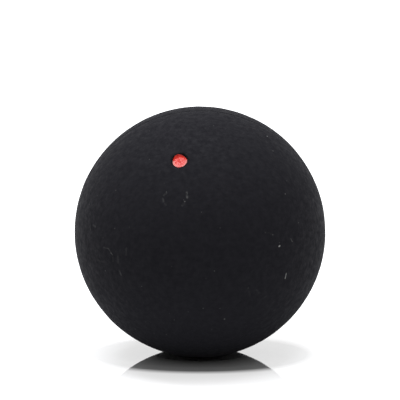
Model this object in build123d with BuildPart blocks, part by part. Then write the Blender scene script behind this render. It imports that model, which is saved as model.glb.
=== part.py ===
from build123d import *
import os
from math import asin, cos, degrees, radians, sin, sqrt, tan

# A hollow rubber squash ball: two moulded half shells, cemented rim to rim and buffed,
# with one red paint dot in a small moulded dimple.
# The origin is the ball's centre, +Z is up and -Y is the front. The half shells share the
# Y axis and meet on the XZ plane.

# Ball and wall, in millimetres
ball_diameter = 37.0
wall_thickness = 4.8

# Cement between the rims, and the bead that is squeezed out inside
cement_thickness = 0.2
bead_width = 1.8
bead_height = 0.45

# Where the dot looks, in degrees: up from level, and round to the left of the front
dot_elevation = 50.0
dot_bearing = 14.5

# Dimple that holds the dot
dimple_diameter = 2.2
dimple_depth = 0.6
dimple_draft = 6.0
dimple_mouth_round = 0.3
dimple_floor_round = 0.15

# Paint in the dimple: depth in the middle, and how far its edge creeps up the wall
paint_depth = 0.18
paint_creep = 0.18

# Sizes that follow
outer_radius = ball_diameter / 2
inner_radius = outer_radius - wall_thickness
rim_offset = cement_thickness / 2
outer_rim_angle = degrees(asin(rim_offset / outer_radius))
inner_rim_angle = degrees(asin(rim_offset / inner_radius))
bead_angle = degrees(asin(bead_width / 2 / inner_radius))
dimple_mouth_radius = dimple_diameter / 2
dimple_mouth_height = dimple_depth - outer_radius + sqrt(outer_radius**2 - dimple_mouth_radius**2)
dimple_floor_radius = dimple_mouth_radius - dimple_mouth_height * tan(radians(dimple_draft))
dimple_pin_radius = dimple_floor_radius + dimple_depth * tan(radians(dimple_draft))

dot_direction = Vector(
    -cos(radians(dot_elevation)) * sin(radians(dot_bearing)),
    -cos(radians(dot_elevation)) * cos(radians(dot_bearing)),
    sin(radians(dot_elevation)),
)
dot_axis = Axis((0, 0, 0), dot_direction)
dimple_floor = Plane(origin=dot_direction * (outer_radius - dimple_depth), z_dir=dot_direction)
dot_section = Plane(origin=dimple_floor.origin, x_dir=dimple_floor.x_dir, z_dir=-dimple_floor.y_dir)

# Both halves come from one mould: a round cup about the Y axis with a flat rim for the cement
with BuildPart() as moulded_cup:
    with BuildSketch(Plane.XY):
        with BuildLine():
            outer_wall = CenterArc((0, 0), outer_radius, -90, 90 - outer_rim_angle)
            inner_wall = CenterArc((0, 0), inner_radius, -90, 90 - inner_rim_angle)
            Line(outer_wall @ 0, inner_wall @ 0)
            Line(outer_wall @ 1, inner_wall @ 1)
        make_face()
    revolve(axis=Axis.Y)

# Front half: the cup with the dimple, drafted to leave its pin, and rounded at mouth and floor
with BuildPart() as front_half_shell:
    add(moulded_cup.part)
    with BuildSketch(dot_section):
        with BuildLine():
            floor = Line((0, 0), (dimple_floor_radius, 0))
            Polyline(floor @ 1, (dimple_pin_radius, dimple_depth), (0, dimple_depth), floor @ 0)
        make_face()
    revolve(axis=dot_axis, mode=Mode.SUBTRACT)
    floor_edge = front_half_shell.edges(Select.LAST).sort_by(dot_axis).first
    fillet(floor_edge, dimple_floor_round)
    mouth_edge = front_half_shell.edges().filter_by(GeomType.CIRCLE).sort_by(dot_axis).last
    fillet(mouth_edge, dimple_mouth_round)

# Rear half: the same cup turned round, with no dimple
with BuildPart() as rear_half_shell:
    mirror(moulded_cup.part, about=Plane.XZ)

# Cement: a thin ring that fills the seam flush with the buffed outside, and ends inside in a
# rounded bead that lies on both inner walls
with BuildPart() as seam_cement:
    with BuildSketch(Plane.XY):
        with BuildLine():
            skin = CenterArc((0, 0), outer_radius, -outer_rim_angle, 2 * outer_rim_angle)
            front_lap = CenterArc((0, 0), inner_radius, -bead_angle, bead_angle - inner_rim_angle)
            rear_lap = CenterArc((0, 0), inner_radius, inner_rim_angle, bead_angle - inner_rim_angle)
            Line(skin @ 0, front_lap @ 1)
            Line(skin @ 1, rear_lap @ 0)
            ThreePointArc(front_lap @ 0, (inner_radius - bead_height, 0), rear_lap @ 1)
        make_face()
    revolve(axis=Axis.Y)

# Paint: a pool on the dimple's floor with a hollow surface, cut to the dimple by the rubber itself
with BuildPart() as red_dot:
    with BuildSketch(dot_section):
        with BuildLine():
            middle = (0, paint_depth)
            edge = (dimple_mouth_radius, paint_depth + paint_creep)
            TangentArc(middle, edge, tangent=(1, 0))
            Polyline(edge, (dimple_mouth_radius, 0), (0, 0), middle)
        make_face()
    revolve(axis=dot_axis)
    add(front_half_shell.part, mode=Mode.SUBTRACT)

pieces = {
    "front_half_shell": front_half_shell,
    "rear_half_shell": rear_half_shell,
    "seam_cement": seam_cement,
    "red_dot": red_dot,
}
os.makedirs("parts", exist_ok=True)
for name, piece in pieces.items():
    piece.part.label = name
    export_step(piece.part, f"parts/{name}.step")
    print(name, "volume", round(piece.part.volume, 3), "mm3")
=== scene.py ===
# %% [markdown]
# # A squash ball
# The real ball is two moulded rubber cups, cemented rim to rim and buffed, with a drop of red paint in a
# small dimple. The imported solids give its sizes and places. Here each solid gets a finer mesh with the real
# surface on it, because black rubber shows how it was made only in its small relief and its dull gloss.

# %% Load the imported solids
import random
from math import asin, atan2, cos, degrees, hypot, pi, radians, sin, sqrt, tan, tau

import bmesh
import bpy
from mathutils import Matrix, Vector, kdtree, noise


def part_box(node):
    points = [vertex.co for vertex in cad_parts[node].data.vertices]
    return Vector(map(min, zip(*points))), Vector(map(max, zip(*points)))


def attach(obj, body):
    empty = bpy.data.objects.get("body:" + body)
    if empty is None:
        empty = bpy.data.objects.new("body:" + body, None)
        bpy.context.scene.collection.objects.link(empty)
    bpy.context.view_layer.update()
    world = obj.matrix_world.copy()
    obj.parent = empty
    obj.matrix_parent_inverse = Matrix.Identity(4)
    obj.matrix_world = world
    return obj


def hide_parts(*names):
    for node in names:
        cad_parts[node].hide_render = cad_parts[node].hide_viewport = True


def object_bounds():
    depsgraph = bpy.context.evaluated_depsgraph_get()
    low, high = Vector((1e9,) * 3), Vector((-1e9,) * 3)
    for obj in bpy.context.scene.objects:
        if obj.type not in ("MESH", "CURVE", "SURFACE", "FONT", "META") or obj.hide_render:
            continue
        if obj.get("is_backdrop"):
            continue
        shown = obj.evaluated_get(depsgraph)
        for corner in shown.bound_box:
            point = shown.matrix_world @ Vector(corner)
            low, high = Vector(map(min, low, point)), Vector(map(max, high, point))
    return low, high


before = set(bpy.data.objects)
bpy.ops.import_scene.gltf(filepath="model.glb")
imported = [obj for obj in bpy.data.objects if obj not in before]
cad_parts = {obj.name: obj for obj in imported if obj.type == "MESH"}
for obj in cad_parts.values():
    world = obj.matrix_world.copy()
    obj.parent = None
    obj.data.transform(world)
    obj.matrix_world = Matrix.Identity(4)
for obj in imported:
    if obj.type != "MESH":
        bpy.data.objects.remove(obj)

cad_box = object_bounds()
print("solids:", ", ".join(sorted(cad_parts)))

# %% [markdown]
# The sizes could be typed in again, but then they could drift from the solids. So they are measured on the
# solids: the ball's radius from the box, the wall from the point nearest to the centre, the seam from the
# rear half's rim, and the way that the dot looks from the middle of its paint.

# %% Measure the solids
MM = 0.001
ball_radius = max(cad_box[1])
cavity_radius = min(v.co.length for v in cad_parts["rear_half_shell"].data.vertices)
seam_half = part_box("rear_half_shell")[0].y
paint_points = [v.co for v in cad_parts["red_dot"].data.vertices]
dot_axis = sum(paint_points, Vector()).normalized()
dimple_floor = min(p.dot(dot_axis) for p in paint_points)
print(f"radius {ball_radius / MM:.2f} mm, wall {(ball_radius - cavity_radius) / MM:.2f} mm,"
      f" seam {2 * seam_half / MM:.2f} mm, dimple {(ball_radius - dimple_floor) / MM:.2f} mm deep")

# %% [markdown]
# Every piece of a ball is round, so every piece starts as a section that is spun once about an axis. Spin
# takes four times as long for twice the steps, because it goes over the whole mesh at each of them. So it only
# makes an eighth of the turn here, and copying that eighth, then the quarter, then the half, makes the rest.
# Welding closes the seam and the poles. A single point shows it: spun in 16 steps, it is a closed ring of 16.

# %% Spin a section once round
weld_distance = 0.0001 * MM
eighth = tau / 8
trial_steps = 16


def weld(bm):
    """Merges vertices that lie in one place."""
    bmesh.ops.remove_doubles(bm, verts=bm.verts[:], dist=weld_distance)


def full_turn(bm, axis, steps):
    """Spins a whole bmesh about the X, Y or Z axis through the ball's centre. Steps are a multiple of 8."""
    direction = Matrix.Identity(3)["XYZ".index(axis)]
    bmesh.ops.spin(bm, geom=bm.verts[:] + bm.edges[:], cent=(0, 0, 0), axis=direction,
                   angle=eighth, steps=steps // 8)
    for turn in (eighth, 2 * eighth, 4 * eighth):
        copied = bmesh.ops.duplicate(bm, geom=bm.verts[:] + bm.edges[:] + bm.faces[:])["geom"]
        bmesh.ops.rotate(bm, verts=[g for g in copied if isinstance(g, bmesh.types.BMVert)],
                         cent=(0, 0, 0), matrix=Matrix.Rotation(turn, 3, axis))
    weld(bm)


ring = bmesh.new()
ring.verts.new((ball_radius, 0, 0))
full_turn(ring, "Z", trial_steps)
print("a point spun in", trial_steps, "steps:", len(ring.verts), "points and", len(ring.edges), "edges")
ring.free()

# %% [markdown]
# The front half is a cup with a dimple. Cutting a hole in a ready sphere would leave ragged faces round the
# dimple's mouth. So the outside is spun about the dot's own axis, from a section that starts on the dimple's
# floor, climbs its wall, rolls over the mouth and runs on round the ball. Bevelling the section's two corners
# gives the rounds of the floor and the mouth. The rounds, the wall's draft and the mouth's width are hard to
# measure on a mesh, so they are given here as in the solid.

# %% Section through the dimple and the skin
skin_pitch = 0.2 * MM
mouth_radius = 1.1 * MM
dimple_draft = radians(6)
mouth_round = 0.3 * MM
floor_round = 0.15 * MM
round_segments = 6
past_seam = radians(2)

mouth_angle = asin(mouth_radius / ball_radius)
mouth_height = ball_radius * cos(mouth_angle)
floor_radius = mouth_radius - (mouth_height - dimple_floor) * tan(dimple_draft)
skin_start = mouth_angle + 2 * mouth_round / ball_radius
skin_end = pi - asin(-dot_axis.y) + past_seam


def dimpled_section():
    """Wire in the X-Z plane with the dot's axis upwards."""
    bm = bmesh.new()
    corners = ((0, dimple_floor), (floor_radius, dimple_floor), (mouth_radius, mouth_height),
               (ball_radius * sin(skin_start), ball_radius * cos(skin_start)))
    middle, floor_corner, mouth_corner, skin_corner = (bm.verts.new((x, 0, z)) for x, z in corners)
    bm.edges.new((middle, floor_corner))
    bm.edges.new((floor_corner, mouth_corner))
    bm.edges.new((mouth_corner, skin_corner))
    bmesh.ops.spin(bm, geom=[skin_corner], cent=(0, 0, 0), axis=(0, 1, 0), angle=skin_end - skin_start,
                   steps=round(ball_radius * (skin_end - skin_start) / skin_pitch))
    floor_turn = pi / 2 - dimple_draft
    for corner, size, turn in ((floor_corner, floor_round, floor_turn),
                               (mouth_corner, mouth_round, floor_turn + mouth_angle)):
        bmesh.ops.bevel(bm, geom=[corner], offset=size * tan(turn / 2), offset_type="OFFSET",
                        segments=round_segments, profile=0.5, affect="VERTICES", material=-1)
    return bm


front = dimpled_section()
print("section of the front half:", len(front.verts), "points")

# %% [markdown]
# The spun skin is turned to where the dot looks, and a plane cuts it off at the seam. The cut comes before
# any relief, because its edge has to be a true circle that the rear half can meet.

# %% Spin the front skin and cut it at the seam
skin_segments = 496

full_turn(front, "Z", skin_segments)
turn_to_dot = dot_axis.to_track_quat("Z", "Y").to_matrix()
bmesh.ops.rotate(front, verts=front.verts[:], cent=(0, 0, 0), matrix=turn_to_dot)
bmesh.ops.bisect_plane(front, geom=front.verts[:] + front.edges[:] + front.faces[:], dist=weld_distance,
                       plane_co=(0, -seam_half, 0), plane_no=(0, 1, 0), clear_outer=True)
print("front skin:", len(front.faces), "faces")

# %% [markdown]
# The rear half has no dimple, so it could be a mirrored copy of the front only after filling the hole. It is
# simpler to spin it about the axis that the two halves share. Its rings lie like circles of latitude, and the
# last of them is the rim, with no cut to make.

# %% Spin the rear skin


def arc_from_pole(side, radius, steps):
    """Wire from the pole on one side of the seam, along a sphere, to the seam."""
    bm = bmesh.new()
    pole = bm.verts.new((0, side * radius, 0))
    bmesh.ops.spin(bm, geom=[pole], cent=(0, 0, 0), axis=(0, 0, 1), steps=steps,
                   angle=-side * (pi / 2 - asin(seam_half / radius)))
    return bm


rear = arc_from_pole(1, ball_radius, round(ball_radius * pi / 2 / skin_pitch))
full_turn(rear, "Y", skin_segments)
print("rear skin:", len(rear.faces), "faces")

# %% [markdown]
# Buffing leaves rubber dull but not flat: slow waves from the mould, a skin like an orange's, and shallow pits
# where the abrasive tore it. A bump node would only pretend, and the mesh would stay a bare sphere, so this
# relief moves real vertices. Noise is read at the vertex's own place, which has no seam or pole to show. Pits
# lie at the middles of Voronoi cells, and each cell draws whether it has one.

# %% Height of the buffed skin
# length and height of each layer of waves
wave_layers = ((7.0 * MM, 0.016 * MM), (2.2 * MM, 0.022 * MM), (0.85 * MM, 0.018 * MM))
pit_spacing = 2.2 * MM
pit_radius = 0.32 * MM
pit_depth = 0.030 * MM
pitted_share = 0.4
pit_draw_scale = 7.3
seam_dip_width = 0.45 * MM
seam_dip_depth = 0.030 * MM


def smooth_step(t):
    """Rises smoothly from 0 to 1 as t does."""
    t = min(1.0, max(0.0, t))
    return t * t * (3 - 2 * t)


def buffed_height(point):
    """Height of the skin above the true sphere at a point of the sphere."""
    height = sum(size * noise.noise(point / length) for length, size in wave_layers)
    distances, centres = noise.voronoi(point / pit_spacing)
    # cell noise runs from -1 to 1
    if noise.cell(centres[0] * pit_draw_scale) < 2 * pitted_share - 1:
        height -= pit_depth * (1 - smooth_step(distances[0] * pit_spacing / pit_radius))
    return height - seam_dip_depth * (1 - smooth_step((abs(point.y) - seam_half) / seam_dip_width))


lift = [buffed_height(v.co.normalized() * ball_radius) / MM for v in rear.verts]
print(f"relief from {min(lift):.3f} to {max(lift):.3f} mm")

# %% [markdown]
# A handled ball carries marks: flecks of dust, a few nicks, faint scuffs. They could be painted in the material
# alone, but a nick has a shape too. So each is a short path over the ball, given as on a globe by bearing and
# height in degrees, and by how pale it is. One list both moves the mesh and says where it is pale, so the
# shape and the colour of a mark always agree. A paleness above 1 keeps even the darker grains of a fleck pale.

# %% Marks in front
fleck = {"width": 0.13 * MM, "rise": 0.020 * MM}
nick = {"width": 0.11 * MM, "rise": -0.025 * MM}
scuff = {"width": 0.20 * MM, "rise": -0.010 * MM}
front_marks = [
    (fleck, 2.50, [(38.8, 6.1), (39.1, 6.3)]), (fleck, 0.60, [(73.9, 56.3)]), (fleck, 0.30, [(12.6, -27.7)]),
    (fleck, 0.20, [(61.7, 49.1)]), (fleck, 0.20, [(49.8, 28.4)]), (fleck, 0.20, [(35.8, 12.0)]),
    (fleck, 0.30, [(53.2, 14.1)]), (fleck, 0.12, [(39.1, 7.8)]), (fleck, 0.08, [(31.7, 13.6)]),
    (fleck, 0.08, [(9.6, 17.7)]), (fleck, 0.12, [(7.3, 71.2)]), (fleck, 0.08, [(22.7, -11.4)]),
    (fleck, 0.26, [(-7.9, 29.8)]), (fleck, 0.18, [(-18.5, 33.7)]), (fleck, 0.10, [(-41.4, -39.3)]),
    (fleck, 0.06, [(-20.8, 37.6)]), (fleck, 0.06, [(31.9, 13.5)]), (fleck, 0.05, [(-50.4, 7.8)]),
    (nick, 0.60, [(43.3, -7.5), (43.0, -10.0)]), (nick, 0.30, [(46.3, 8.1), (47.0, 6.7)]),
    (nick, 0.10, [(-49.7, 3.5), (-46.3, 3.5), (-43.5, 1.1)]), (nick, 0.07, [(-43.4, 0.1), (-43.4, -1.7)]),
    (scuff, 0.03, [(-54.5, -3.7), (-49.8, -3.4)]), (scuff, 0.07, [(-39.8, -5.5), (-38.8, -7.5)]),
    (scuff, 0.10, [(-19.8, 30.4), (-19.2, 29.2)]), (scuff, 0.07, [(-19.5, 32.0), (-18.5, 33.0)]),
    (scuff, 0.13, [(-7.2, 34.1), (-6.8, 31.7)]), (scuff, 0.05, [(-8.1, 29.0), (-9.1, 27.9)]),
    (scuff, 0.02, [(32.0, 13.4), (35.2, 12.5)]), (scuff, 0.02, [(23.1, -12.8), (24.1, -15.5)]),
    (scuff, 0.02, [(27.2, -13.0), (29.0, -15.1)]), (scuff, 0.02, [(31.0, -18.4), (33.1, -17.3)]),
    (scuff, 0.04, [(-18.2, 28.3), (-17.7, 27.8)]), (scuff, 0.05, [(-62.2, 10.3), (-61.2, 8.7)]),
    (scuff, 0.05, [(-59.5, 11.4), (-57.3, 11.3)]), (scuff, 0.03, [(-40.3, 1.1), (-40.1, -1.9)]),
    (scuff, 0.03, [(-35.7, 5.6), (-35.6, 2.8)]),
]
print(len(front_marks), "marks in front")

# %% [markdown]
# Nobody knows the marks behind, and a bare back would look unused. A generator with a fixed seed draws a few
# faint ones, so that every run makes the same ball.

# %% Marks behind
mark_seed = 37
rear_mark_count = 24
rear_bearings = (100, 260)
rear_height_sines = (-0.9, 0.95)
rear_paleness = (0.05, 0.20)
scuff_reach = 5.0

chance = random.Random(mark_seed)
rear_marks = []
for kind in (fleck, fleck, scuff) * (rear_mark_count // 3):
    start = (chance.uniform(*rear_bearings), degrees(asin(chance.uniform(*rear_height_sines))))
    path = [start]
    if kind is scuff:
        path.append(tuple(c + chance.uniform(-scuff_reach, scuff_reach) for c in start))
    rear_marks.append((kind, chance.uniform(*rear_paleness), path))
print(len(rear_marks), "marks behind")

# %% [markdown]
# A mark is finer than the skin's grid, and asking every vertex about every mark would take minutes. A k-d tree
# hands over only the vertices round a mark, and their distance to its path is measured then.

# %% Find the skin near a mark


def on_ball(bearing, height):
    """Point of the sphere at a bearing from the front, to the right, and a height above level."""
    b, h = radians(bearing), radians(height)
    return ball_radius * Vector((cos(h) * sin(b), -cos(h) * cos(b), sin(h)))


def mark_paths(marks):
    """Each mark's path over the ball, with how far the mark reaches from it."""
    return [([on_ball(*place) for place in places], kind["width"]) for kind, _, places in marks]


def distance_to_path(point, path):
    """Distance to the nearest place of a path, which may be a single point."""
    nearest = (point - path[0]).length
    for start, end in zip(path, path[1:]):
        run = end - start
        share = min(1.0, max(0.0, (point - start).dot(run) / run.length_squared))
        nearest = min(nearest, (point - start - share * run).length)
    return nearest


def verts_near(bm, paths):
    """Lists each vertex that is near a path, the path's number and their distance, for paths with a reach."""
    bm.verts.index_update()
    bm.verts.ensure_lookup_table()
    tree = kdtree.KDTree(len(bm.verts))
    for v in bm.verts:
        tree.insert(v.co, v.index)
    tree.balance()
    found = []
    for number, (path, reach) in enumerate(paths):
        middle = (path[0] + path[-1]) / 2
        for place, index, _ in tree.find_range(middle, reach + max((p - middle).length for p in path)):
            distance = distance_to_path(place, path)
            if distance < reach:
                found.append((bm.verts[index], number, distance))
    return found


print("vertices in the front marks so far:", len(verts_near(front, mark_paths(front_marks))))

# %% [markdown]
# So few vertices can't show a nick. Subdividing only the faces near a mark gives it enough of them without
# making the whole ball heavier. A mark's paleness goes into an attribute on the vertices, for the rubber's
# colour to read.

# %% Press the marks into a skin
fine_border = 2 * skin_pitch
fine_cuts = 3


def press_marks(bm, marks):
    """Refines a skin near its marks, presses them in and stores how pale they are. Says how many it moved."""
    paths = mark_paths(marks)
    near = {v for v, _, _ in verts_near(bm, [(path, width + fine_border) for path, width in paths])}
    bmesh.ops.subdivide_edges(bm, edges=[e for e in bm.edges if near.issuperset(e.verts)], cuts=fine_cuts,
                              use_grid_fill=True)
    pale = bm.verts.layers.float.new("paleness")
    found = verts_near(bm, paths)
    for v, number, distance in found:
        kind, paleness, _ = marks[number]
        off = distance / kind["width"]
        v.co += v.co.normalized() * kind["rise"] * (1 - smooth_step(off))
        # full to half the mark's width, and fading from there to its edge
        v[pale] = max(v[pale], paleness * min(1.0, 2 - 2 * off))
    return len(found)


print("vertices in marks:", press_marks(front, front_marks), "and", press_marks(rear, rear_marks))

# %% [markdown]
# The buffing wheel never reaches into the dimple: there the rubber keeps the mould's own smooth, blacker skin.
# So the relief fades out towards the dimple, and a second attribute says where the mould's skin is left. The
# rubber paints that place near black, darker than the skin alone, as painted shade for the dark ring round the
# dot. The seam's own vertices only move in its plane, so that the rim stays flat.

# %% Buff both skins
calm_from, calm_to = mouth_radius + mouth_round, 2.2 * MM
# the dimple and this ring round its mouth are painted near black: mould skin, and painted shade round the dot
dark_ring_from, dark_ring_to = mouth_radius + 0.1 * MM, mouth_radius + 0.4 * MM
rim_reach = 1.01 * seam_half


def buff(bm):
    """Gives a skin its relief, and stores where the abrasive never came: mould skin, and painted shade round the
    dot.
    """
    mould_skin_and_shade = bm.verts.layers.float.new("mould_skin_and_shade")
    for v in bm.verts:
        along = v.co.dot(dot_axis)
        off_axis = (v.co - along * dot_axis).length if along > 0 else ball_radius
        v[mould_skin_and_shade] = 1 - smooth_step((off_axis - dark_ring_from) / (dark_ring_to - dark_ring_from))
        share = smooth_step((off_axis - calm_from) / (calm_to - calm_from))
        if share > 0:
            out = v.co.normalized()
            way = Vector((out.x, 0, out.z)) if abs(v.co.y) < rim_reach else out
            v.co += share * buffed_height(out * ball_radius) * way


for skin in (front, rear):
    buff(skin)
print("buffed", len(front.verts) + len(rear.verts), "vertices")

# %% [markdown]
# A skin is only a sheet. Solidify would copy its fine grid to the inside, where nobody looks. The cavity is
# smooth, so a coarse cup is spun for it, and bridging its edge to the skin's edge makes the flat cement face
# between them. Two circles in one plane and with one centre don't tell bridging which way round to go, and it
# may weave a twisted rim. So the cup stands aside until the bridge is made. A closed skin that nowhere turns
# inside out has only contiguous edges, and its volume is the solid's.

# %% Line each skin with its cavity
cavity_rings = 32
cavity_segments = 128


def mesh_of(bm, name):
    """Makes a bmesh a mesh and frees it."""
    mesh = bpy.data.meshes.new(name)
    bm.to_mesh(mesh)
    bm.free()
    return mesh


def add_cavity(bm, side):
    """Closes a skin behind with the inner wall and the flat rim of its half."""
    cup = arc_from_pole(side, cavity_radius, cavity_rings)
    full_turn(cup, "Y", cavity_segments)
    aside = Vector((0, side * cavity_radius, 0))
    bmesh.ops.translate(cup, verts=cup.verts[:], vec=aside)
    carrier = mesh_of(cup, "cavity")
    skin_verts = set(bm.verts)
    bm.from_mesh(carrier)
    bpy.data.meshes.remove(carrier)
    bmesh.ops.bridge_loops(bm, edges=[e for e in bm.edges if e.is_boundary])
    bmesh.ops.translate(bm, verts=[v for v in bm.verts if v not in skin_verts], vec=-aside)
    bmesh.ops.recalc_face_normals(bm, faces=bm.faces[:])


def state(bm):
    """Says how many edges are open or turn inside out, and how large the piece is."""
    faults = sum(not e.is_contiguous for e in bm.edges)
    return f"{faults} faulty edges, {bm.calc_volume(signed=True) / MM**3:.3f} cubic mm"


add_cavity(front, -1)
add_cavity(rear, 1)
print("front half:", state(front))
print("rear half:", state(rear))

# %% [markdown]
# Rubber cement holds the rims together. Outside, buffing leaves it a little lower than the harder rubber, so
# that it is a fine dark line. Inside, what was squeezed out stands as a bead on both walls. It could be a plain
# ring and a torus, but these would cut into each other. One closed section, with a true arc for the bead, makes
# both at once.

# %% Section through the cement
cement_sink = 0.045 * MM
bead_half = 0.9 * MM
bead_height = 0.45 * MM
bead_steps = 10


def cement_section():
    """Closed wire in the X-Y plane: sunk line outside, straight seam, and bead inside."""
    bm = bmesh.new()
    outer = ball_radius - cement_sink
    inner = sqrt(cavity_radius**2 - seam_half**2)
    lap = sqrt(cavity_radius**2 - bead_half**2)
    bead_rise = lap - cavity_radius + bead_height
    bead_radius = (bead_half**2 + bead_rise**2) / (2 * bead_rise)
    half_angle = asin(bead_half / bead_radius)
    corners = ((lap, bead_half), (inner, seam_half), (outer, seam_half), (outer, -seam_half),
               (inner, -seam_half), (lap, -bead_half))
    points = [bm.verts.new((x, y, 0)) for x, y in corners]
    for start, end in zip(points, points[1:]):
        bm.edges.new((start, end))
    centre = (lap - bead_rise + bead_radius, 0, 0)
    bmesh.ops.spin(bm, geom=[points[-1]], cent=centre, axis=(0, 0, 1), angle=-2 * half_angle, steps=bead_steps)
    weld(bm)
    return bm


cement = cement_section()
print("section of the cement:", len(cement.verts), "points")

# %% [markdown]
# The section is spun about the common axis. Cement that was brushed on and squeezed is never even, so noise
# moves the line outside a little and the bead inside more. The bead's feet on the rubber stay still.

# %% Spin the cement and make it uneven
cement_segments = 480
ripple_length = 0.8 * MM
line_ripple = 0.015 * MM
bead_ripple = 0.10 * MM
bead_edge = 0.99 * bead_half

full_turn(cement, "Y", cement_segments)
for v in cement.verts:
    flat = Vector((v.co.x, 0, v.co.z))
    uneven = noise.noise(v.co / ripple_length)
    if flat.length > (ball_radius + cavity_radius) / 2:
        v.co += flat.normalized() * line_ripple * uneven
    elif abs(v.co.y) < bead_edge and abs(v.co.y) != seam_half:
        v.co += flat.normalized() * bead_ripple * uneven * (1 - (v.co.y / bead_half) ** 2)
bmesh.ops.recalc_face_normals(cement, faces=cement.faces[:])
print("cement:", state(cement))

# %% [markdown]
# The dot is one drop of thick red paint. It pulls itself up the dimple's wall in tongues, so that its edge is
# uneven. A fluid simulation could find that edge, but a few tongues that are read off the photograph do it more
# surely: each has its bearing round the dot, how far it rises and how wide it is.

# %% Edge of the paint
creep_plain = 0.26 * MM
creep_wobble = 0.04 * MM
wobble_reach, wobble_level = 4, 9.1
# bearing round the dot in degrees from its right, rise in mm, half width in degrees
creep_tongues = ((-130, 0.08, 35), (-22, 0.09, 42), (122, 0.25, 40), (50, -0.06, 25), (-80, -0.08, 14))


def creep(angle):
    """How high above the dimple's floor the paint has crept at an angle round the dot."""
    height = creep_plain
    for bearing, rise, width in creep_tongues:
        away = abs((degrees(angle) - bearing + 180) % 360 - 180)
        height += rise * MM * (1 - smooth_step(away / (2 * width)))
    at = Vector((wobble_reach * cos(angle), wobble_reach * sin(angle), wobble_level))
    return height + creep_wobble * noise.noise(at)


def wall_place(height):
    """Distance from the dot's axis, and height along it, of the dimple's wall at a height above its floor."""
    round_foot = mouth_height - mouth_round - dimple_floor
    reach = floor_radius + min(height, round_foot) * tan(dimple_draft)
    over = min(1.0, max(0.0, height - round_foot) / mouth_round)
    return reach + mouth_round * (1 - sqrt(1 - over**2)), dimple_floor + height


edge_heights = [creep(radians(a)) / MM for a in range(360)]
print(f"paint climbs {min(edge_heights):.2f} to {max(edge_heights):.2f} mm up the dimple's wall")

# %% [markdown]
# The pool itself is a disc with a rim, spun about the dot's axis. Then its top is moved: outwards to the wall,
# up towards the edge, steeply at the end as in any wetted cup, and by the wrinkles of a dried skin. Where its
# lower or right edge has crept highest, an attribute marks a painted highlight: a paler red where the
# meniscus would catch the overhead light.

# %% Paint in the dimple
paint_segments = 160
paint_rings = 30
paint_middle = dimple_floor + 0.18 * MM
paint_foot = 0.9 * floor_radius
paint_lift = 0.012 * MM
meniscus_power = 7
wrinkle_length = 0.4 * MM
wrinkle_height = 0.035 * MM
wrinkle_power = 6
# where the paint's edge gets a painted highlight, a paler red for the lit meniscus
highlight_from, highlight_rise = 0.62, 0.06 * MM
highlight_below = radians(40)


def pour_paint():
    """The pool of paint at its place in the dimple."""
    bm = bmesh.new()
    corners = ((0, paint_middle), (floor_radius, paint_middle), (paint_foot, dimple_floor), (0, dimple_floor))
    points = [bm.verts.new((x, 0, z)) for x, z in corners]
    edges = [bm.edges.new(pair) for pair in zip(points, points[1:])]
    bmesh.ops.subdivide_edges(bm, edges=edges[:1], cuts=paint_rings)
    full_turn(bm, "Z", paint_segments)
    painted_highlight = bm.verts.layers.float.new("painted_highlight")
    for v in bm.verts:
        if v.co.z > (paint_middle + dimple_floor) / 2:
            angle = atan2(v.co.y, v.co.x)
            share = hypot(v.co.x, v.co.y) / floor_radius
            crept = creep(angle)
            # painted highlight on the lower and right edge only, where the meniscus faces the lamp
            if angle < highlight_below:
                v[painted_highlight] = (smooth_step((share - highlight_from) / (1 - highlight_from))
                             * smooth_step((crept - creep_plain) / highlight_rise))
            reach, edge = wall_place(crept)
            radius = share * (reach - paint_lift)
            wrinkle = wrinkle_height * noise.noise(v.co / wrinkle_length) * (1 - share**wrinkle_power)
            height = paint_middle + (edge - paint_middle) * share**meniscus_power + wrinkle
            v.co = (radius * cos(angle), radius * sin(angle), height)
    bmesh.ops.rotate(bm, verts=bm.verts[:], cent=(0, 0, 0), matrix=turn_to_dot)
    bmesh.ops.recalc_face_normals(bm, faces=bm.faces[:])
    return bm


paint = pour_paint()
print("paint:", state(paint))

# %% [markdown]
# Materials are trees of nodes. They could be linked one socket at a time, but then a finish is pages long. A
# few helpers add a node and fill its inputs, by value or by link, so that each finish below reads as a list of
# what it is made of. Patterns read Object coordinates, in metres, so a noise of scale 1000 has features of
# about a millimetre.

# %% Helpers that add nodes


def feed(tree, value, socket):
    """Gives an input a value, or links an output to it."""
    if isinstance(value, bpy.types.NodeSocket):
        tree.links.new(value, socket)
    else:
        socket.default_value = value


def put(tree, kind, **settings):
    """Adds a node. A setting that is named like an input goes there, and any other is a property."""
    made = tree.nodes.new("ShaderNode" + kind)
    for name, value in settings.items():
        socket = made.inputs.get(name.replace("_", " "))
        if socket is None:
            setattr(made, name, value)
        else:
            feed(tree, value, socket)
    return made


def new_finish(name):
    """Material with its node tree, its main shader and the place that its patterns read."""
    material = bpy.data.materials.new(name)
    material.use_nodes = True
    tree = material.node_tree
    return material, tree, tree.nodes["Principled BSDF"], put(tree, "TexCoord").outputs["Object"]


trial = new_finish("trial")[0]
print("a new finish starts with", len(trial.node_tree.nodes), "nodes")
bpy.data.materials.remove(trial)

# %% [markdown]
# Buffed rubber is near black, a shade blue, and dull. Carbon black takes almost all light, so what is seen is
# half a faint diffuse tone and half a weak, wide gloss. A flat black would look like a hole. So a noise with
# features just under a millimetre mottles the rubber: its lighter spots are also a little glossier, as they are
# where rubber is rubbed. A finer grain is for the marks and the bump. The dimple and a ring round its mouth
# are near black: the mould's black skin, darkened further as painted shade for the dark ring round the dot.

# %% Buffed rubber: tone
mottle_scale, grain_scale = 1300.0, 2300.0
# a noise's values lie mostly between these two
noise_low, noise_high = 0.3, 0.7
rubber_dark, rubber_light = (0.0120, 0.0116, 0.0142), (0.0128, 0.0124, 0.0152)
# the mould's black skin, darkened further as painted shade for the ring round the dot
mould_black_and_shade = (0.003, 0.003, 0.0035)


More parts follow.
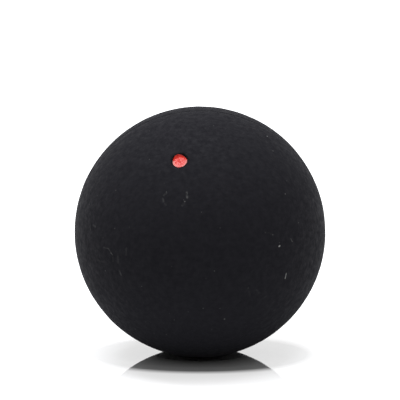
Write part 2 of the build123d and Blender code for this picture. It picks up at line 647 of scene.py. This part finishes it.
def ramp(tree, value, *stops):
    """Colour read from a value by stops of position and colour, in order."""
    made = put(tree, "ValToRGB", Fac=value)
    for position, _ in stops[1:-1]:
        made.color_ramp.elements.new(position)
    for element, (position, colour) in zip(made.color_ramp.elements, stops):
        element.position = position
        element.color = (*colour, 1)
    return made.outputs["Color"]


def layer(tree, share, under, over):
    """Colour that goes from one output to a plain colour over it as the share rises."""
    made = put(tree, "Mix", data_type="RGBA", Factor=share)
    # the colours' sockets share their names with the numbers', so they are taken by number
    tree.links.new(under, made.inputs[6])
    made.inputs[7].default_value = (*over, 1)
    return made.outputs[2]


rubber, tree, shader, place = new_finish("buffed_rubber")
mottle = put(tree, "TexNoise", Vector=place, Scale=mottle_scale, Detail=2.5, Roughness=0.6).outputs["Fac"]
grain = put(tree, "TexNoise", Vector=place, Scale=grain_scale, Detail=1.5, Roughness=0.5).outputs["Fac"]
tone = ramp(tree, mottle, (noise_low, rubber_dark), (noise_high, rubber_light))
unbuffed_and_shaded = put(tree, "Attribute", attribute_name="mould_skin_and_shade").outputs["Fac"]
# in and round the dimple: painted shade as well as the mould's skin
skinned_and_shaded = layer(tree, unbuffed_and_shaded, tone, mould_black_and_shade)
print(f"mottle {1 / mottle_scale / MM:.2f} mm wide, grain {1 / grain_scale / MM:.2f} mm")

# %% [markdown]
# The marks' paleness is multiplied by the grain, so that a mark is a crumbled patch and not a drawn line. Fine
# dust lies on the whole ball. It could be thousands of little meshes, but Voronoi cells, cut down to their
# nearest points, scatter it for nothing.

# %% Buffed rubber: marks and dust
pale_grey = (0.42, 0.42, 0.40)
crumb_dark, crumb_pale, crumb_least = 0.40, 0.60, 0.35
dust_scale = 480.0
speck_edge, speck_core, dust_paleness = 0.055, 0.025, 0.12


def reckon(tree, operation, first, second):
    """Result of a Math node on two outputs or numbers."""
    made = put(tree, "Math", operation=operation)
    feed(tree, first, made.inputs[0])
    feed(tree, second, made.inputs[1])
    return made.outputs["Value"]


def rescale(tree, value, start, end, low=0.0, high=1.0):
    """Goes from low to high while a value goes from start to end, and no further."""
    made = put(tree, "MapRange", Value=value, From_Min=start, From_Max=end, To_Min=low, To_Max=high)
    return made.outputs["Result"]


mark = put(tree, "Attribute", attribute_name="paleness").outputs["Fac"]
crumbs = reckon(tree, "MULTIPLY", mark, rescale(tree, grain, crumb_dark, crumb_pale, low=crumb_least))
marked = layer(tree, crumbs, skinned_and_shaded, pale_grey)
speck = put(tree, "TexVoronoi", Vector=place, Scale=dust_scale).outputs["Distance"]
dust = rescale(tree, speck, speck_edge, speck_core, high=dust_paleness)
dusty = layer(tree, dust, marked, pale_grey)
print(f"a cell of dust every {1 / dust_scale / MM:.1f} mm")

# %% [markdown]
# Gloss tells rubber from plastic: its specular level is far lower and its highlight is spread wide. The mottle
# and the grain also bump the surface, finer than the mesh's own relief can.

# %% Buffed rubber: gloss and bump
rubber_dull, rubber_glossy = 0.935, 0.675
rubber_gloss = 0.091
mottle_bump, grain_bump = 0.06 * MM, 0.05 * MM


def bumped(tree, pattern, height, **under):
    """Normal of a surface that a pattern raises, over another normal where one is given."""
    return put(tree, "Bump", Height=pattern, Strength=1.0, Distance=height, **under).outputs["Normal"]


def dress(tree, shader, colour, roughness, normal, gloss):
    """Gives a shader its colour, roughness and normal, sets how strong its gloss is, and counts the nodes."""
    tree.links.new(colour, shader.inputs["Base Color"])
    tree.links.new(roughness, shader.inputs["Roughness"])
    tree.links.new(normal, shader.inputs["Normal"])
    shader.inputs["Specular IOR Level"].default_value = gloss
    return len(tree.nodes)


roughness = rescale(tree, mottle, noise_low, noise_high, rubber_dull, rubber_glossy)
peel = bumped(tree, mottle, mottle_bump)
nodes = dress(tree, shader, dusty, roughness, bumped(tree, grain, grain_bump, Normal=peel), rubber_gloss)
print("buffed rubber has", nodes, "nodes")

# %% [markdown]
# Cured cement is rubber too, but it was brushed on and not moulded: darker, smoother, with small clouds in it.
# It could share the rubber's finish, but then the seam would vanish. A still weaker gloss keeps its line dark
# from every side.

# %% Cured cement
cloud_scale = 900.0
cloud_low, cloud_high = 0.35, 0.65
cement_dark, cement_light = (0.005, 0.005, 0.006), (0.012, 0.012, 0.014)
cement_smooth, cement_rough = 0.58, 0.72
cement_gloss = 0.06
cloud_bump = 0.03 * MM

cured_cement, tree, shader, place = new_finish("rubber_cement")
cloud = put(tree, "TexNoise", Vector=place, Scale=cloud_scale, Detail=3.0).outputs["Fac"]
tone = ramp(tree, cloud, (cloud_low, cement_dark), (cloud_high, cement_light))
roughness = rescale(tree, cloud, noise_low, noise_high, cement_smooth, cement_rough)
nodes = dress(tree, shader, tone, roughness, bumped(tree, cloud, cloud_bump), cement_gloss)
print("cured cement has", nodes, "nodes")

# %% [markdown]
# The paint is a saturated signal red with a satin gloss. One plain red would look like a sticker. Its swirls
# are where the drop was dabbed in: noise that is distorted by itself, which shifts the red a little and ripples
# the gloss. A paler red is laid over it by the mesh's own attribute, as a painted highlight on the lower and
# right edge.

# %% Red paint
swirl_scale = 2600.0
red_deep, red_bright = (0.70, 0.018, 0.005), (0.87, 0.028, 0.009)
red_painted_highlight = (0.88, 0.32, 0.28)
paint_smooth, paint_rough = 0.22, 0.34
paint_gloss = 0.34
swirl_bump = 0.03 * MM

dabbed_red, tree, shader, place = new_finish("red_paint")
swirl = put(tree, "TexNoise", Vector=place, Scale=swirl_scale, Detail=4.0, Distortion=1.5).outputs["Fac"]
tone = ramp(tree, swirl, (noise_low, red_deep), (noise_high, red_bright))
# the paler red at the edge is a painted highlight
highlit_red = layer(tree, put(tree, "Attribute", attribute_name="painted_highlight").outputs["Fac"], tone, red_painted_highlight)
roughness = rescale(tree, swirl, noise_low, noise_high, paint_smooth, paint_rough)
nodes = dress(tree, shader, highlit_red, roughness, bumped(tree, swirl, swirl_bump), paint_gloss)
print("red paint has", nodes, "nodes")

# %% [markdown]
# Each mesh now becomes an object that rides on the ball's one body and takes the place of its solid. Flat
# faces would glitter on a ball, so shading is smooth, except where faces meet at a real corner, such as the
# edge of the rim.

# %% Make the pieces
sharp_corner = radians(50)


def add_object(name, data):
    """New object in the scene, at the origin."""
    made = bpy.data.objects.new(name, data)
    bpy.context.scene.collection.objects.link(made)
    return made


def finish_piece(bm, name, material, node):
    """Makes a bmesh the piece that takes a solid's place."""
    mesh = mesh_of(bm, name)
    mesh.shade_smooth()
    mesh.set_sharp_from_angle(angle=sharp_corner)
    mesh.materials.append(material)
    piece = add_object(name, mesh)
    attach(piece, "root")
    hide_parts(node)
    print(name, "has", sum(len(p.vertices) - 2 for p in mesh.polygons), "triangles")


finish_piece(front, "front_shell_rubber", rubber, "front_half_shell")
finish_piece(rear, "rear_shell_rubber", rubber, "rear_half_shell")
finish_piece(cement, "seam_cement_ring", cured_cement, "seam_cement")
finish_piece(paint, "red_dot_paint", dabbed_red, "red_dot")

# %% [markdown]
# The ball lies on a polished white sheet, which mirrors it at a low angle and hardly at all from above. In the
# photograph the mirror image is deep only inside a flat oval round the place where the ball lies, and a pale
# ghost outside it. No single gloss does that. So outside the oval a white glow takes most of the mirror's
# place. The sheet's diffuse colour is painted darker towards the oval's middle, as a painted shadow where
# the ball shuts out the light.

# %% Oval on the floor
oval_half_width, oval_half_depth = 17.5 * MM, 9.23 * MM
oval_forward = 1.29 * MM
oval_reach = 2.5
# distances from the oval's middle in oval sizes, with the sheet's diffuse colour there, darkened as painted
# shadow
shadowed_tone_under = ((0.0, 0.06), (0.35, 0.20), (0.75, 0.60))
# distances from the oval's middle in oval sizes, with the share of the mirror that the glow has taken there
mirror_taken = ((0.35, 0.0), (0.90, 0.045), (1.08, 0.60), (1.6, 0.68), (oval_reach, 1.0))

polished_white, tree, shader, place = new_finish("polished_white")
tree.nodes.remove(shader)
width, depth = oval_reach * oval_half_width, oval_reach * oval_half_depth
oval = put(tree, "Mapping", Vector=place, Location=(0, oval_forward / depth, 0), Scale=(1 / width, 1 / depth, 0))
from_middle = put(tree, "VectorMath", operation="LENGTH")
tree.links.new(oval.outputs["Vector"], from_middle.inputs[0])
floor_tone_and_painted_shadow, taken = (
    ramp(tree, from_middle.outputs["Value"], *((away / oval_reach, (grey, grey, grey)) for away, grey in stops))
    for stops in (shadowed_tone_under, mirror_taken))
print(f"oval {2 * oval_half_width / MM:.0f} by {2 * oval_half_depth / MM:.1f} mm")

# %% [markdown]
# A glow would also light the ball, more than a plain floor does. Light Path tells which rays are only looking:
# those straight from the camera, through glass, or from a gloss after few bounces. The glow shows in these
# alone. It also fades for short rays, which come from the ball's underside, where it lies in its own shade. The
# shadow, and the light that the sheet throws back, stay as they are.

# %% Rays that see the glow
floor_bounces = 1
shade_near, shade_far = 8 * MM, 70 * MM


def seen_rays(tree, bounces):
    """Output that is 1 for what the camera sees straight, through glass or in a gloss after so many bounces."""
    rays = put(tree, "LightPath").outputs
    # a depth is a whole number, so the limit lies half a bounce higher
    early = reckon(tree, "LESS_THAN", rays["Ray Depth"], bounces + 0.5)
    glossy = reckon(tree, "MULTIPLY", rays["Is Glossy Ray"], early)
    straight = reckon(tree, "MAXIMUM", rays["Is Camera Ray"], rays["Is Transmission Ray"])
    return reckon(tree, "MAXIMUM", straight, glossy)


clear = rescale(tree, put(tree, "LightPath").outputs["Ray Length"], shade_near, shade_far)
seen = reckon(tree, "MULTIPLY", seen_rays(tree, floor_bounces), clear)
glow_share = reckon(tree, "MULTIPLY", taken, seen)
print(f"the glow fades for rays under {shade_far / MM:.0f} mm")

# %% [markdown]
# A polished sheet is a mirror over a diffuse white. One shader with a high gloss would mirror too little at a
# low angle, so the two are added, and Layer Weight's Facing sets how much the mirror and the glow give.

# %% Polished floor
floor_half = 2.0
floor_blur = 0.03
facing_blend = 0.5
glow_strength = 1.57


def mix_shaders(tree, share, first, second):
    """Shader that goes from one to another as the share rises."""
    made = put(tree, "MixShader", Fac=share)
    tree.links.new(first.outputs[0], made.inputs[1])
    tree.links.new(second.outputs[0], made.inputs[2])
    return made


facing = put(tree, "LayerWeight", Blend=facing_blend).outputs["Facing"]
mirror = put(tree, "BsdfGlossy", Color=facing, Roughness=floor_blur)
glow = put(tree, "Emission", Color=facing, Strength=glow_strength)
both = put(tree, "AddShader")
# the sheet's diffuse colour, with its painted shadow under the ball
tree.links.new(put(tree, "BsdfDiffuse", Color=floor_tone_and_painted_shadow).outputs[0], both.inputs[0])
tree.links.new(mix_shaders(tree, glow_share, mirror, glow).outputs[0], both.inputs[1])
tree.links.new(both.outputs[0], tree.nodes["Material Output"].inputs["Surface"])

sheet = bmesh.new()
bmesh.ops.create_grid(sheet, x_segments=1, y_segments=1, size=floor_half)
bmesh.ops.translate(sheet, verts=sheet.verts[:], vec=(0, 0, -ball_radius))
floor = add_object("studio_floor", mesh_of(sheet, "studio_floor"))
floor.data.materials.append(polished_white)
floor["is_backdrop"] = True
print(f"floor {-ball_radius / MM:.1f} mm below the ball's centre")

# %% [markdown]
# The surround could be a white room, but that would light the ball from all sides. So the world is white only
# where it is seen, straight or in one reflection, and lights the object at a dim fill's strength. Cycles counts
# a ray that ends on the world as one bounce more, so that reflection is its second.

# %% White surround
fill_strength = 0.18
surround_bounces = 2
white = (1, 1, 1, 1)

world = bpy.data.worlds.new("studio")
world.use_nodes = True
tree = world.node_tree
tree.nodes.clear()
fill = put(tree, "Background", Color=white, Strength=fill_strength)
backdrop = put(tree, "Background", Color=white, Strength=1.0)
surround = mix_shaders(tree, seen_rays(tree, surround_bounces), fill, backdrop)
put(tree, "OutputWorld", Surface=surround.outputs[0])
bpy.context.scene.world = world
print("surround lights with", fill_strength, "and has", len(tree.nodes), "nodes")

# %% [markdown]
# The lamp is one softbox overhead, a little to the left and a shade cool. More lamps would give more gleams,
# and the photograph shows a single wide one on the ball's upper side.

# %% Softbox
softbox_place = Vector((-0.06, 0.04, 0.60))
softbox_size = (0.30, 0.66)
softbox_watts = 4.7
softbox_white = (0.93, 0.95, 1.0)

lamp = bpy.data.lights.new("overhead_softbox", "AREA")
lamp.shape = "RECTANGLE"
lamp.size, lamp.size_y = softbox_size
lamp.energy = softbox_watts
lamp.color = softbox_white
softbox = add_object("overhead_softbox", lamp)
softbox.location = softbox_place
softbox.rotation_euler = (-softbox_place).to_track_quat("-Z", "Y").to_euler()
print(f"softbox {softbox_place.length:.2f} m away, {softbox_watts} W")

# %% [markdown]
# The photograph is taken from far off, a little above the ball. The camera could be placed by eye, but the
# picture gives its numbers. Height and distance come from the edge of the ball's mirror image on the floor. The
# ball measures 125.5 pixels from middle to edge, which then gives the focal length. It sits below the picture's
# middle, so the camera is tilted up by those pixels.

# %% Camera
picture_pixels = 400
ball_pixels = 125.5
ball_below_middle_pixels = 31.8
view_height = radians(16.2)
view_distance = 60 * ball_radius
nearest_seen = 0.01

focal_pixels = ball_pixels * sqrt(view_distance**2 - ball_radius**2) / ball_radius
lens = bpy.data.cameras.new("photo_view")
lens.lens = lens.sensor_width * focal_pixels / picture_pixels
lens.clip_start = nearest_seen
camera = add_object("photo_view", lens)
camera.location = view_distance * Vector((0, -cos(view_height), sin(view_height)))
camera.rotation_euler = (pi / 2 - view_height + atan2(ball_below_middle_pixels, focal_pixels), 0, 0)
bpy.context.scene.camera = camera
bpy.context.scene.view_settings.view_transform = "Standard"
print(f"camera {view_distance:.3f} m away with a {lens.lens:.0f} mm lens")

# %% [markdown]
# Last, the finished ball's box is measured against the solids' box, to see that dressing it changed no size.

# %% Compare sizes and finish
ball_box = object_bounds()
growth = max(abs(a - b) for solid, ball in zip(cad_box, ball_box) for a, b in zip(solid, ball))
print(f"the box differs by {growth / MM:.3f} mm at most")
